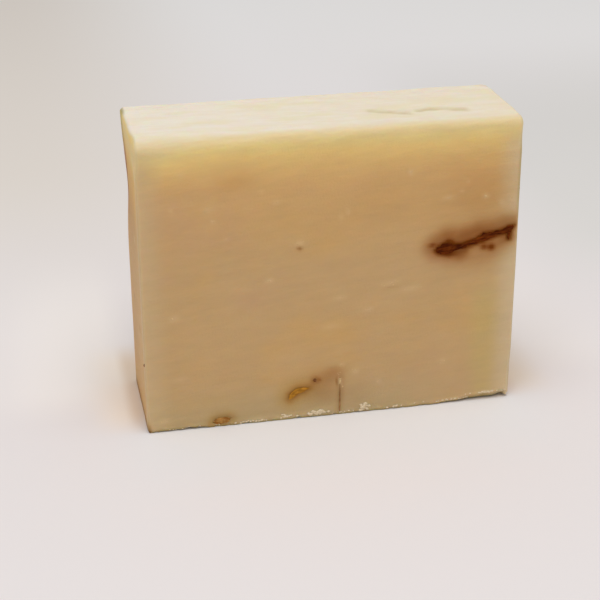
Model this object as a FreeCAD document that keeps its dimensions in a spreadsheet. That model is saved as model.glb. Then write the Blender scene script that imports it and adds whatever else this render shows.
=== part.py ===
"""Bar of handmade soap with scraps of dried petal set in it.

The bar was poured as part of a loaf and cut from it by wire. Its two large faces are the cut
ones and its four narrow ones were the loaf's skin. It stands on a long narrow face, and the
face above that is the one that was open to the air.

+X runs along the bar, +Y from the front cut face to the back one, +Z up. The origin is in the
middle of the face that it stands on. Lengths are in millimetres and angles in degrees.
"""

import FreeCAD
import Part
import Sketcher
import math
import os

SIZES = [
    ("bar_width", 79.4, "bar: length over the open top"),
    ("bar_height", 63.5, "bar: height"),
    ("bar_depth", 25.4, "bar: thickness between the two cut faces"),
    ("lip_overhang", 0.35, "bar: how far each end of the top stands out"),
    ("lip_height", 10.0, "bar: height over which the ends widen to the top"),
    ("brow_round", 1.5, "bar: radius of the softened edge between top and front"),
    ("edge_round", 0.5, "bar: radius of every other edge"),
    ("furrow_length", 8.5, "top: length of a furrow"),
    ("furrow_depth", 0.45, "top: depth of a furrow at its middle"),
    ("furrow_round", 0.6, "top: radius across a furrow"),
    ("furrow_angle", -16.0, "top: angle of the furrows from the long edges"),
    ("furrow_from_front", 8.6, "top: middle of the right furrow, from the front"),
    ("furrow_from_right", 15.2, "top: middle of the right furrow, from the right end"),
    ("furrow_step_left", 10.8, "top: from the right furrow to the left one, along the bar"),
    ("furrow_step_back", 0.4, "top: from the right furrow to the left one, across the bar"),
    ("bruise_length", 24.0, "back left edge: length of the worn hollow"),
    ("bruise_depth", 0.9, "back left edge: depth of the worn hollow"),
    ("bruise_round", 2.0, "back left edge: radius across the worn hollow"),
    ("bruise_below_top", 17.5, "back left edge: middle of the hollow, below the top"),
    ("chip_length", 20.0, "front base edge: length of the broken bevel at the right"),
    ("chip_start", 0.12, "front base edge: height of the bevel where it starts"),
    ("chip_rise", 1.5, "front base edge: height of the bevel at the right end"),
    ("chip_angle", 32.0, "front base edge: angle of the bevel from upright"),
    ("brown_petal_length", 17.4, "brown petal: length of its cut edge"),
    ("brown_petal_thick", 3.2, "brown petal: thickness at its folded end"),
    ("brown_petal_reach", 5.0, "brown petal: how far it goes into the bar"),
    ("brown_petal_climb", 1.6, "brown petal: how far it rises on its way in"),
    ("brown_petal_angle", 10.0, "brown petal: tilt of its cut edge"),
    ("brown_petal_from_right", 18.2, "brown petal: folded end, from the right end"),
    ("brown_petal_up", 36.1, "brown petal: folded end, above the base"),
    ("orange_petal_length", 4.9, "orange petal: length of its cut edge"),
    ("orange_petal_thick", 1.4, "orange petal: thickness"),
    ("orange_petal_reach", 3.0, "orange petal: how far it goes into the bar"),
    ("orange_petal_climb", 0.5, "orange petal: how far it rises on its way in"),
    ("orange_petal_angle", 25.0, "orange petal: tilt of its cut edge"),
    ("orange_petal_from_left", 30.2, "orange petal: lower end, from the left end"),
    ("orange_petal_up", 5.0, "orange petal: lower end, above the base"),
    ("base_edge_petal_length", 4.0, "petal at the base: length of its cut edge"),
    ("base_edge_petal_thick", 1.4, "petal at the base: thickness"),
    ("base_edge_petal_reach", 2.5, "petal at the base: how far it goes into the bar"),
    ("base_edge_petal_climb", 0.3, "petal at the base: how far it rises on its way in"),
    ("base_edge_petal_angle", 4.0, "petal at the base: tilt of its cut edge"),
    ("base_edge_petal_from_left", 13.9, "petal at the base: left tip, from the left end"),
    ("base_edge_petal_up", 1.1, "petal at the base: left tip, above the base"),
    ("plant_fibre_length", 8.2, "fibre: length"),
    ("plant_fibre_thick", 0.35, "fibre: width"),
    ("plant_fibre_reach", 0.8, "fibre: how far it goes into the bar"),
    ("plant_fibre_climb", 0.1, "fibre: how far it rises on its way in"),
    ("plant_fibre_angle", 88.0, "fibre: tilt"),
    ("plant_fibre_from_left", 41.1, "fibre: lower end, from the left end"),
    ("plant_fibre_up", 0.75, "fibre: lower end, above the base"),
    ("front_grain_length", 0.9, "grain in front: width"),
    ("front_grain_thick", 0.7, "grain in front: height"),
    ("front_grain_reach", 0.6, "grain in front: how far it goes into the bar"),
    ("front_grain_climb", 0.05, "grain in front: how far it rises on its way in"),
    ("front_grain_angle", 15.0, "grain in front: tilt"),
    ("front_grain_from_left", 35.4, "grain in front: left tip, from the left end"),
    ("front_grain_up", 8.6, "grain in front: left tip, above the base"),
    ("left_end_grain_size", 0.8, "grain in the left end: diameter"),
    ("left_end_grain_proud", 0.15, "grain in the left end: how far it stands out"),
    ("left_end_grain_from_front", 0.95, "grain in the left end: middle, from the front"),
    ("left_end_grain_up", 15.5, "grain in the left end: middle, above the base"),
    ("right_end_grain_size", 0.7, "grain in the right end: diameter"),
    ("right_end_grain_proud", 0.15, "grain in the right end: how far it stands out"),
    ("right_end_grain_from_front", 1.2, "grain in the right end: middle, from the front"),
    ("right_end_grain_up", 47.8, "grain in the right end: middle, above the base"),
]

# Outlines of what shows in the front face, anticlockwise from the left tip. The first number
# of a point is a share of the scrap's length and the second a share of its thickness.
OUTLINES = {
    "brown_petal": [
        (0.00, -0.10), (0.03, -0.34), (0.16, -0.66), (0.28, -0.66), (0.36, -0.59), (0.39, -0.41),
        (0.47, -0.31), (0.56, -0.28), (0.73, -0.12), (0.90, -0.06), (0.895, -0.53), (0.92, -0.56),
        (0.95, -0.03), (1.00, 0.28), (0.93, 0.31), (0.82, 0.16), (0.71, 0.19), (0.61, 0.25),
        (0.50, -0.03), (0.31, -0.09), (0.23, 0.03), (0.21, 0.22), (0.17, 0.34), (0.14, 0.28),
        (0.05, 0.12),
    ],
    "orange_petal": [
        (0.00, 0.00), (0.02, -0.25), (0.22, -0.20), (0.49, -0.07), (0.72, -0.20), (1.00, 0.00),
        (0.76, 0.45), (0.55, 0.80), (0.35, 0.72), (0.12, 0.50),
    ],
    "base_edge_petal": [
        (0.00, 0.00), (0.20, -0.32), (0.60, -0.38), (0.90, -0.20), (1.00, 0.20), (0.80, 0.60),
        (0.55, 0.50), (0.38, 0.62), (0.12, 0.35),
    ],
    "plant_fibre": [
        (0.00, -0.40), (0.45, -0.70), (1.00, -0.30), (1.00, 0.30), (0.50, 0.20), (0.00, 0.40),
    ],
    "front_grain": [
        (0.00, 0.00), (0.25, -0.45), (0.75, -0.50), (1.00, 0.05), (0.70, 0.50), (0.20, 0.40),
    ],
}
# Size of a scrap's inner end against its outline in the front face.
INNER_SHARE = 0.6

# Two places closer than this are one place.
NEAR = 0.001
# Faces that meet at less than this angle run on smoothly.
SMOOTH = math.radians(10)
# How a sketch numbers its own origin and the two ends of a line or arc.
ORIGIN = (-1, 1)
START = 1
END = 2

LEFT_END = "-sizes.bar_width / 2 + sizes.lip_overhang"
RIGHT_END = "sizes.bar_width / 2 - sizes.lip_overhang"

doc = FreeCAD.newDocument("soap")
sheet = doc.addObject("Spreadsheet::Sheet", "sizes")
for row, (alias, value, note) in enumerate(SIZES, start=1):
    sheet.set(f"A{row}", note)
    sheet.set(f"B{row}", str(value))
    sheet.setAlias(f"B{row}", alias)
doc.recompute()


def attach(item, body, plane, place, turn="0", axis=FreeCAD.Vector(0, 0, 1)):
    """Fixes a sketch or solid to an origin plane of its body, and moves and turns it there."""
    origin_plane = next(part for part in body.Origin.OriginFeatures if part.Role == plane)
    item.AttachmentSupport = (origin_plane, [""])
    item.MapMode = "FlatFace"
    item.AttachmentOffset = FreeCAD.Placement(FreeCAD.Vector(), FreeCAD.Rotation(axis, 90))
    for coordinate, expression in zip("xyz", place):
        item.setExpression(f".AttachmentOffset.Base.{coordinate}", expression)
    item.setExpression(".AttachmentOffset.Rotation.Angle", turn)


def add_sketch(body, name, plane, place=("0", "0", "0"), turn="0"):
    """Empty sketch on an origin plane of the body."""
    sketch = body.newObject("Sketcher::SketchObject", name)
    attach(sketch, body, plane, place, turn)
    return sketch


def tie(sketch, kind, *ends):
    """Adds a constraint that has no value."""
    sketch.addConstraint(Sketcher.Constraint(kind, *ends))


def dimension(sketch, kind, first, second, expression):
    """Adds a distance along X or Y between two points, bound to an expression."""
    gap = sketch.getPoint(*second) - sketch.getPoint(*first)
    drawn = gap.x if kind == "DistanceX" else gap.y
    index = sketch.addConstraint(Sketcher.Constraint(kind, *first, *second, drawn))
    sketch.setExpression(f"Constraints[{index}]", expression)


def draw_polygon(sketch, corners):
    """Draws a closed outline of straight lines, each corner given by two expressions."""
    drawn = [FreeCAD.Vector(number, number**2, 0) for number in range(len(corners))]
    for start, end in zip(drawn, drawn[1:] + drawn[:1]):
        sketch.addGeometry(Part.LineSegment(start, end))
    for number, (across, up) in enumerate(corners):
        tie(sketch, "Coincident", number, START, (number - 1) % len(corners), END)
        dimension(sketch, "DistanceX", ORIGIN, (number, START), across)
        dimension(sketch, "DistanceY", ORIGIN, (number, START), up)


def loft(body, kind, name, sections):
    """Joins sketches by straight walls, to add to the body or to cut from it."""
    feature = body.newObject(f"PartDesign::{kind}", name)
    feature.Profile = sections[0]
    feature.Sections = sections[1:]
    feature.Ruled = True


def draw_cut_face(sketch):
    """Draws the bar from the front. Its ends widen in two arcs up to the open top."""
    half_top = sheet.bar_width / 2
    half_base = half_top - sheet.lip_overhang
    half_bend = half_base + sheet.lip_overhang / 4
    top = sheet.bar_height
    lip = top - sheet.lip_height
    bend = (lip + top) / 2
    base_left = FreeCAD.Vector(-half_base, 0, 0)
    base_right = FreeCAD.Vector(half_base, 0, 0)
    lip_left = FreeCAD.Vector(-half_base, lip, 0)
    lip_right = FreeCAD.Vector(half_base, lip, 0)
    top_left = FreeCAD.Vector(-half_top, top, 0)
    top_right = FreeCAD.Vector(half_top, top, 0)
    base, right, right_lip, open_top, left_lip, left = sketch.addGeometry(
        [
            Part.LineSegment(base_left, base_right),
            Part.LineSegment(base_right, lip_right),
            Part.Arc(top_right, FreeCAD.Vector(half_bend, bend, 0), lip_right),
            Part.LineSegment(top_right, top_left),
            Part.Arc(lip_left, FreeCAD.Vector(-half_bend, bend, 0), top_left),
            Part.LineSegment(lip_left, base_left),
        ]
    )
    tie(sketch, "Coincident", base, END, right, START)
    tie(sketch, "Tangent", right, END, right_lip, END)
    tie(sketch, "Coincident", right_lip, START, open_top, START)
    tie(sketch, "Coincident", open_top, END, left_lip, END)
    tie(sketch, "Tangent", left_lip, START, left, START)
    tie(sketch, "Coincident", left, END, base, START)
    tie(sketch, "Horizontal", base)
    tie(sketch, "Horizontal", open_top)
    tie(sketch, "Horizontal", right, END, left, START)
    tie(sketch, "Vertical", right)
    tie(sketch, "Vertical", left)
    dimension(sketch, "DistanceY", ORIGIN, (base, START), "0")
    dimension(sketch, "DistanceX", ORIGIN, (base, START), LEFT_END)
    dimension(sketch, "DistanceX", ORIGIN, (base, END), RIGHT_END)
    dimension(sketch, "DistanceX", ORIGIN, (open_top, END), "-sizes.bar_width / 2")
    dimension(sketch, "DistanceX", ORIGIN, (open_top, START), "sizes.bar_width / 2")
    dimension(sketch, "DistanceY", ORIGIN, (open_top, START), "sizes.bar_height")
    dimension(sketch, "DistanceY", (right, END), (open_top, START), "sizes.lip_height")


def edge_at(shape, middle):
    """Name of the edge that has its middle at a place."""
    return [
        f"Edge{number}"
        for number, edge in enumerate(shape.Edges, start=1)
        if edge.CenterOfMass.distanceToPoint(middle) < NEAR
    ]


def sharp_edges(shape):
    """Names of the edges where two faces meet at an angle."""
    names = []
    for number, edge in enumerate(shape.Edges, start=1):
        middle = edge.valueAt((edge.FirstParameter + edge.LastParameter) / 2)
        first, second = [
            face.normalAt(*face.Surface.parameter(middle))
            for face in shape.ancestorsOfType(edge, Part.Face)
        ]
        if first.getAngle(second) > SMOOTH:
            names.append(f"Edge{number}")
    return names


def round_edges(body, name, radius, edges):
    """Rounds the named edges of the body as it is so far."""
    base = body.Tip
    feature = body.newObject("PartDesign::Fillet", name)
    feature.Base = (base, edges)
    feature.setExpression("Radius", f"sizes.{radius}")
    doc.recompute()


def ring_radius(kind):
    """Outer radius of a ring that dips into a face as long and as deep as the sheet says."""
    return f"(sizes.{kind}_length^2 / 4 + sizes.{kind}_depth^2) / (2 * sizes.{kind}_depth)"


def cut_hollow(body, name, kind, plane, place, turn, axis):
    """Cuts a long hollow with thin ends, which is where a ring on edge dips into the bar."""
    ring = body.newObject("PartDesign::SubtractiveTorus", name)
    ring.setExpression("Radius1", f"{ring_radius(kind)} - sizes.{kind}_round")
    ring.setExpression("Radius2", f"sizes.{kind}_round")
    attach(ring, body, plane, place, turn, axis)


def cut_furrow(body, name, left, back):
    """A furrow in the open top, so far left of the right one and behind it."""
    across = "sizes.bar_depth / 2 - sizes.furrow_from_front"
    place = (
        f"sizes.bar_width / 2 - sizes.furrow_from_right - {left}",
        f"sizes.bar_height + {ring_radius('furrow')} - sizes.furrow_depth",
        f"{across} - {back}",
    )
    upright = FreeCAD.Vector(0, 1, 0)
    cut_hollow(body, name, "furrow", "XZ_Plane", place, "sizes.furrow_angle", upright)


def cut_bruise(body):
    """The hollow worn in the upright edge at the back left."""
    outward = f"({ring_radius('bruise')} - sizes.bruise_depth) * sqrt(0.5)"
    place = (
        f"{LEFT_END} - {outward}",
        f"sizes.bar_depth / 2 + {outward}",
        "sizes.bar_height - sizes.bruise_below_top",
    )
    away_from_bar = FreeCAD.Vector(-1, 1, 0)
    cut_hollow(body, "bruise", "bruise", "XY_Plane", place, "90", away_from_bar)


def chip_section(body, name, along, rise):
    """The bevel from the end: a triangle over the base edge and some room outside the bar."""
    sketch = add_sketch(body, name, "YZ_Plane", ("0", "0", along))
    depth = f"{rise} * tan(sizes.chip_angle * 1 deg)"
    outside = f"-sizes.bar_depth / 2 - {depth}"
    inside = f"-sizes.bar_depth / 2 + 2 * {depth}"
    corners = [(outside, f"2 * {rise}"), (outside, f"-{rise}"), (inside, f"-{rise}")]
    draw_polygon(sketch, corners)
    return sketch


def make_block():
    """The block of soap, before the scraps take up their room in it."""
    body = doc.addObject("PartDesign::Body", "block")
    cut_face = add_sketch(body, "cut_face", "XZ_Plane")
    draw_cut_face(cut_face)
    pad = body.newObject("PartDesign::Pad", "slice")
    pad.Profile = cut_face
    pad.SideType = "Symmetric"
    pad.setExpression("Length", "sizes.bar_depth")
    doc.recompute()

    brow = FreeCAD.Vector(0, -sheet.bar_depth / 2, sheet.bar_height)
    round_edges(body, "brow", "brow_round", edge_at(body.Tip.Shape, brow))
    round_edges(body, "worn_edges", "edge_round", sharp_edges(body.Tip.Shape))

    cut_furrow(body, "right_furrow", "0", "0")
    cut_furrow(body, "left_furrow", "sizes.furrow_step_left", "sizes.furrow_step_back")
    cut_bruise(body)
    chip_start = chip_section(
        body, "chip_start", f"{RIGHT_END} - sizes.chip_length", "sizes.chip_start"
    )
    chip_end = chip_section(body, "chip_end", RIGHT_END, "sizes.chip_rise")
    loft(body, "SubtractiveLoft", "chip", [chip_start, chip_end])
    return body


def scrap_section(body, name, share, place):
    """A scrap's outline, drawn about the middle of its length at a share of its full size."""
    label = body.Label
    sketch = add_sketch(body, name, "XZ_Plane", place, f"sizes.{label}_angle")
    indent = (1 - share) / 2
    corners = [
        (f"{indent + share * x} * sizes.{label}_length", f"{share * y} * sizes.{label}_thick")
        for x, y in OUTLINES[label]
    ]
    draw_polygon(sketch, corners)
    return sketch


def make_scrap(label, along):
    """A scrap of plant, from its outline in the front face to a smaller end inside."""
    body = doc.addObject("PartDesign::Body", label)
    front = "sizes.bar_depth / 2"
    up = f"sizes.{label}_up"
    outline = scrap_section(body, f"{label}_outline", 1, (along, up, front))
    inner_place = (along, f"{up} + sizes.{label}_climb", f"{front} - sizes.{label}_reach")
    inner_end = scrap_section(body, f"{label}_inner_end", INNER_SHARE, inner_place)
    loft(body, "AdditiveLoft", f"{label}_loft", [outline, inner_end])
    return body


def make_end_grain(label, end, outward):
    """A round grain, all but a little of it sunk in one end of the bar."""
    grain = doc.addObject("Part::Sphere", label)
    seam_inside = FreeCAD.Rotation(FreeCAD.Vector(0, 0, 1), 90 + outward * 90)
    grain.Placement = FreeCAD.Placement(FreeCAD.Vector(), seam_inside)
    grain.setExpression("Radius", f"sizes.{label}_size / 2")
    sunk = f"(sizes.{label}_size / 2 - sizes.{label}_proud)"
    grain.setExpression(".Placement.Base.x", f"{end} - {outward} * {sunk}")
    front = f"-sizes.bar_depth / 2 + sizes.{label}_from_front"
    grain.setExpression(".Placement.Base.y", front)
    grain.setExpression(".Placement.Base.z", f"sizes.{label}_up")
    return grain


block = make_block()
scraps = [
    make_scrap("brown_petal", "sizes.bar_width / 2 - sizes.brown_petal_from_right"),
    make_scrap("orange_petal", "-sizes.bar_width / 2 + sizes.orange_petal_from_left"),
    make_scrap("base_edge_petal", "-sizes.bar_width / 2 + sizes.base_edge_petal_from_left"),
    make_scrap("plant_fibre", "-sizes.bar_width / 2 + sizes.plant_fibre_from_left"),
    make_scrap("front_grain", "-sizes.bar_width / 2 + sizes.front_grain_from_left"),
    make_end_grain("left_end_grain", LEFT_END, -1),
    make_end_grain("right_end_grain", RIGHT_END, 1),
]

room_for_scraps = doc.addObject("Part::MultiFuse", "room_for_scraps")
room_for_scraps.Shapes = scraps
soap_bar = doc.addObject("Part::Cut", "soap_bar")
soap_bar.Base = block
soap_bar.Tool = room_for_scraps
doc.recompute()

for item in doc.Objects:
    if "Invalid" in item.State or "Error" in item.State:
        raise RuntimeError(f"{item.Label} could not be built")
for item in block.Group:
    if item.TypeId.startswith("PartDesign::Subtractive"):
        if item.Shape.Volume >= item.BaseFeature.Shape.Volume:
            raise RuntimeError(f"{item.Label} cuts nothing")
nodes = [soap_bar, *scraps]
for node in nodes:
    if node.Shape.isNull() or not node.Shape.isValid() or len(node.Shape.Solids) != 1:
        raise RuntimeError(f"{node.Label} is not one valid solid")

os.makedirs("parts", exist_ok=True)
for node in nodes:
    node.Shape.exportStep(f"parts/{node.Label}.step")
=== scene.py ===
"""The looks of a hand-cut bar of soap with plant scraps in it, in metres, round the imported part."""

import math
import random

import bmesh
import bpy
import numpy as np
from mathutils import Matrix, Quaternion, Vector, noise
from mathutils.bvhtree import BVHTree


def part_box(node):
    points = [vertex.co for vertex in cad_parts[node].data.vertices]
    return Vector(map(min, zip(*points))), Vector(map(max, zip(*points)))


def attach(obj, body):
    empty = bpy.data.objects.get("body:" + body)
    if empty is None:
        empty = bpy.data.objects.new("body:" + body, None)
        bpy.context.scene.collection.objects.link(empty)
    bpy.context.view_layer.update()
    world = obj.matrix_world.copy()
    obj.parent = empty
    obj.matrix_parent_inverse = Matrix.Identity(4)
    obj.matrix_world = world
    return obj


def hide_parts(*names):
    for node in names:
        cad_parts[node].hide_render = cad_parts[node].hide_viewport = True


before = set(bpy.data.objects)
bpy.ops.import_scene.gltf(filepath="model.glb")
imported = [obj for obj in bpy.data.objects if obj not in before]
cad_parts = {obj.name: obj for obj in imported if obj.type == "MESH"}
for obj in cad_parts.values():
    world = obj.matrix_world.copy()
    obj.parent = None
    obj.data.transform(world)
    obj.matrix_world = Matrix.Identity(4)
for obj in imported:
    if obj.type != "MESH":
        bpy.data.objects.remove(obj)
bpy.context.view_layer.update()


# The camera stands a little left of the front and looks down on the bar, close by,
# as whoever took the picture held it. Lens and place are for a square picture.
LENS = 89.49
AZIMUTH = math.radians(-11.45)
ELEVATION = math.radians(23.90)
ROLL = math.radians(-0.353)
AIM = Vector((-0.00439, 0.0, 0.02176))
EYE_DISTANCE = 0.3192

to_eye = Vector((
    math.sin(AZIMUTH) * math.cos(ELEVATION),
    -math.cos(AZIMUTH) * math.cos(ELEVATION),
    math.sin(ELEVATION),
))
camera = bpy.data.objects.new("camera", bpy.data.cameras.new("camera"))
camera.data.lens = LENS
camera.data.clip_start = 0.01
camera.location = AIM + to_eye * EYE_DISTANCE
camera.rotation_mode = "QUATERNION"
camera.rotation_quaternion = (-to_eye).to_track_quat("-Z", "Y") @ Quaternion((0, 0, 1), ROLL)
bpy.context.scene.collection.objects.link(camera)
bpy.context.scene.camera = camera
bpy.context.scene.view_settings.view_transform = "Standard"


# The table is a pale sheet, matt and a little warm, that runs back out of the picture. A warm glow is
# painted on it close beside the bar, as light that has passed through the soap would give, with painted
# contact shade right at the bar's ends and a painted lift of the bar's shadow a little further out. Its
# tone
# changes slowly further out: painted lighter far off, where the lamp's light falls off, painted cooler just
# in front of the bar against the warm light that the soap throws there, and darker towards the back.
FLOOR_RADIUS = 3.0
FLOOR_NEAR = (239, 233, 233)
# Painted cooler in front of the bar, against the warm light the soap throws there.
FLOOR_FRONT = (235, 234, 236)
# Painted lighter far out, where the lamp's light falls off.
FLOOR_FAR = (252, 250, 249)
FLOOR_BACK_LEFT = (236, 228, 220)
FLOOR_BACK_RIGHT = (232, 229, 226)
# Painted light beside the bar: a warm glow, and darker painted contact shade right at its ends.
GLOW_LEFT = (252, 241, 230)
GLOW_RIGHT = (238, 227, 213)
CONTACT_SHADE = (236, 217, 198)
# A painted lift, lighter, in the bar's shadow on the floor.
SHADOW_LIFT_LEFT = (249, 243, 240)
SHADOW_LIFT_RIGHT = (246, 240, 238)

# Where the tones lie, along and back from the bar's middle: two places, from none to full,
# or four, where the tone starts, is full, begins to fade and is gone.
FAR_OUT = (0.05, 0.45)
FRONT_ALONG = (0.055, 0.030)
FRONT_BACK = (-0.045, -0.018, -0.013, -0.008)
GLOW_ALONG = (0.034, 0.039, 0.042, 0.053)
GLOW_BACK = (-0.014, -0.002, 0.020, 0.034)
CONTACT_SHADE_ALONG = (0.0435, 0.0403)
SHADOW_LIFT_ALONG = (0.036, 0.046, 0.052, 0.080)
SHADOW_LIFT_BACK = (-0.006, 0.012, 0.040, 0.105)
LEFT_ALONG = (0.04, -0.06)
LEFT_BACK = (0.03, 0.17)
RIGHT_ALONG = (0.055, 0.10)
RIGHT_BACK = (0.02, 0.08, 0.16, 0.30)
HALVES_MEET = (-0.01, 0.01)


def paint(red, green, blue):
    """A colour as the screen shows it, 0 to 255, as the linear colour that a shader wants."""
    linear = []
    for part in (red, green, blue):
        share = part / 255
        linear.append(share / 12.92 if share <= 0.04045 else ((share + 0.055) / 1.055) ** 2.4)
    return (*linear, 1.0)


def add(tree, kind, inputs=None, **settings):
    """Adds a shader node. An input is a plain value or the output of another node."""
    made = tree.nodes.new("ShaderNode" + kind)
    for name, value in settings.items():
        setattr(made, name, value)
    for name, value in (inputs or {}).items():
        if isinstance(value, bpy.types.NodeSocket):
            tree.links.new(value, made.inputs[name])
        else:
            made.inputs[name].default_value = value
    return made


def new_material(name):
    """An empty material and its node tree."""
    material = bpy.data.materials.new(name)
    material.use_nodes = True
    material.node_tree.nodes.clear()
    return material, material.node_tree


def spread(tree, value, start, end, smooth=True):
    """0 where the value is at start, 1 where it is at end."""
    ends = {"Value": value, "From Min": start, "From Max": end}
    kind = "SMOOTHSTEP" if smooth else "LINEAR"
    return add(tree, "MapRange", ends, interpolation_type=kind).outputs[0]


def blend(tree, share, first, second):
    """The first colour where the share is 0, the second where it is 1."""
    return add(tree, "Mix", {0: share, 6: first, 7: second}, data_type="RGBA").outputs[2]


def times(tree, first, second):
    """Two values multiplied."""
    return add(tree, "Math", {0: first, 1: second}, operation="MULTIPLY").outputs[0]


def between(tree, value, places):
    """0 before the first of four places and after the last, 1 from the second to the third."""
    start, full, fading, end = places
    return times(tree, spread(tree, value, start, full), spread(tree, value, end, fading))


def size_of(tree, value):
    """A value without its sign."""
    return add(tree, "Math", {0: value}, operation="ABSOLUTE").outputs[0]


def place(name, shape, material):
    """Puts a finished bmesh into the scene as an object at the origin."""
    mesh = bpy.data.meshes.new(name)
    shape.to_mesh(mesh)
    shape.free()
    mesh.polygons.foreach_set("use_smooth", [True] * len(mesh.polygons))
    mesh.materials.append(material)
    made = bpy.data.objects.new(name, mesh)
    bpy.context.scene.collection.objects.link(made)
    return made


sheet_white, tree = new_material("pale_sheet")
spot = add(tree, "TexCoord").outputs["Object"]
reach = add(tree, "VectorMath", {0: spot}, operation="LENGTH").outputs["Value"]
axes = add(tree, "SeparateXYZ", {0: spot}).outputs
along, backward = axes["X"], axes["Y"]
outward = size_of(tree, along)
to_right = spread(tree, along, *HALVES_MEET)
# Painted cooler just in front of the bar, against the warm light that the soap throws there.
in_front = times(tree, between(tree, backward, FRONT_BACK), spread(tree, outward, *FRONT_ALONG))
tone = blend(tree, in_front, paint(*FLOOR_NEAR), paint(*FLOOR_FRONT))
# Painted lighter where the bar's shadow falls on the floor.
shade = times(tree, between(tree, outward, SHADOW_LIFT_ALONG), between(tree, backward, SHADOW_LIFT_BACK))
tone = blend(tree, shade, tone, blend(tree, to_right, paint(*SHADOW_LIFT_LEFT), paint(*SHADOW_LIFT_RIGHT)))
# A painted warm glow beside the bar's ends, with painted contact shade right next to them.
beside = times(tree, between(tree, outward, GLOW_ALONG), between(tree, backward, GLOW_BACK))
glow = blend(tree, to_right, paint(*GLOW_LEFT), paint(*GLOW_RIGHT))
glow = blend(tree, spread(tree, outward, *CONTACT_SHADE_ALONG), glow, paint(*CONTACT_SHADE))
tone = blend(tree, beside, tone, glow)
# Painted lighter far out, where the lamp's light falls off.
tone = blend(tree, spread(tree, reach, *FAR_OUT), tone, paint(*FLOOR_FAR))
back_left = times(tree, spread(tree, backward, *LEFT_BACK), spread(tree, along, *LEFT_ALONG))
tone = blend(tree, back_left, tone, paint(*FLOOR_BACK_LEFT))
back_right = times(tree, between(tree, backward, RIGHT_BACK), spread(tree, along, *RIGHT_ALONG))
tone = blend(tree, back_right, tone, paint(*FLOOR_BACK_RIGHT))
surface = add(tree, "BsdfDiffuse", {"Color": tone})
add(tree, "OutputMaterial", {"Surface": surface.outputs[0]})

table_top = bmesh.new()
bmesh.ops.create_circle(table_top, cap_ends=True, segments=96, radius=FLOOR_RADIUS)
table_top = place("table_top", table_top, sheet_white)


# The light is a wide soft lamp overhead, a little in front, in a pale room that fills the shade.
# The room shows as the pale backdrop to the camera and in gloss.
LAMP_SIZE = 0.7
LAMP_PLACE = Vector((-0.05, -0.28, 0.95))
LAMP_POWER = 5.4
LAMP_COLOUR = (1.0, 0.995, 0.985)
ROOM_FILL = 0.44
ROOM_COLOUR = (221, 216, 212)

lamp = bpy.data.objects.new("overhead_lamp", bpy.data.lights.new("overhead_lamp", "AREA"))
lamp.data.size = LAMP_SIZE
lamp.data.energy = LAMP_POWER
lamp.data.color = LAMP_COLOUR
lamp.location = LAMP_PLACE
lamp.rotation_mode = "QUATERNION"
lamp.rotation_quaternion = (-LAMP_PLACE).to_track_quat("-Z", "Y")
bpy.context.scene.collection.objects.link(lamp)


def greater(tree, first, second):
    """The greater of two values."""
    return add(tree, "Math", {0: first, 1: second}, operation="MAXIMUM").outputs[0]


room = bpy.data.worlds.new("room")
room.use_nodes = True
tree = room.node_tree
tree.nodes.clear()
rays = add(tree, "LightPath").outputs
seen = greater(tree, rays["Is Camera Ray"], rays["Is Glossy Ray"])
seen = greater(tree, seen, rays["Is Transmission Ray"])
fill = add(tree, "Background", {"Color": (1, 1, 1, 1), "Strength": ROOM_FILL}).outputs[0]
shown = add(tree, "Background", {"Color": paint(*ROOM_COLOUR), "Strength": 1.0}).outputs[0]
both = add(tree, "MixShader", {0: seen, 1: fill, 2: shown}).outputs[0]
add(tree, "OutputWorld", {"Surface": both})
bpy.context.scene.world = room


# The block of soap is one casting. A wire cut its two large faces from the loaf and dragged fine
# ripples along them. The mould left its top rough, soda ash powders it white, and both ends flare
# a little at the top.
MM = 0.001
low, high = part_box("soap_bar")
HALF_LENGTH = high.x / MM
HALF_THICK = high.y / MM
HEIGHT = high.z / MM
LIP_OVERHANG = 0.33
LIP_HEIGHT = 10.0
EDGE_ROUND = 0.55
BASE_SHARPER = 0.45
BROW_ROUND_LEFT = 3.0
BROW_ROUND_RIGHT = 1.6
BACK_CORNER_ROUND = 2.2
TOP_ROUND = 0.9
END_ROUND = 1.1
CORNER_ROUND = 1.3
ROUND_WANDER = 0.25
CELLS = (180, 56, 144)
EDGE_BAND = 3.0
EDGE_CROWDING = 0.5
DRAG_ANGLE = math.radians(7)


def rise(value, start, end):
    """0 below start, 1 above end, a smooth step between them."""
    share = np.clip((value - start) / (end - start), 0, 1)
    return share * share * (3 - 2 * share)


def hill(value, middle, width):
    """1 at the middle, falling to 0 on both sides of it."""
    return np.exp(-(((value - middle) / width) ** 2))


def lumps(points, size, seed):
    """Smooth noise from -1 to 1 at each point. Size is the lumps' size along each axis."""
    shift = np.array((17.31, 5.17, 9.73)) * seed
    return np.array([noise.noise(Vector(p)) for p in points / np.array(size) + shift])


def crowd(share, length):
    """Moves a share of a length towards its ends, so that the mesh is finer near the edges."""
    band = EDGE_BAND / length
    start = EDGE_CROWDING * band * (1 - np.exp(-share / band))
    end = EDGE_CROWDING * band * (np.exp(-(1 - share) / band) - math.exp(-1 / band))
    whole = 1 - 2 * EDGE_CROWDING * band * (1 - math.exp(-1 / band))
    return (share - start - end) / whole


shape = bmesh.new()
bmesh.ops.create_cube(shape, size=1.0)
for axis, cells in enumerate(CELLS):
    along = [e for e in shape.edges if abs(e.verts[0].co[axis] - e.verts[1].co[axis]) > 0.9]
    bmesh.ops.subdivide_edges(shape, edges=along, cuts=cells - 1, use_grid_fill=True)
bmesh.ops.recalc_face_normals(shape, faces=shape.faces)

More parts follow.
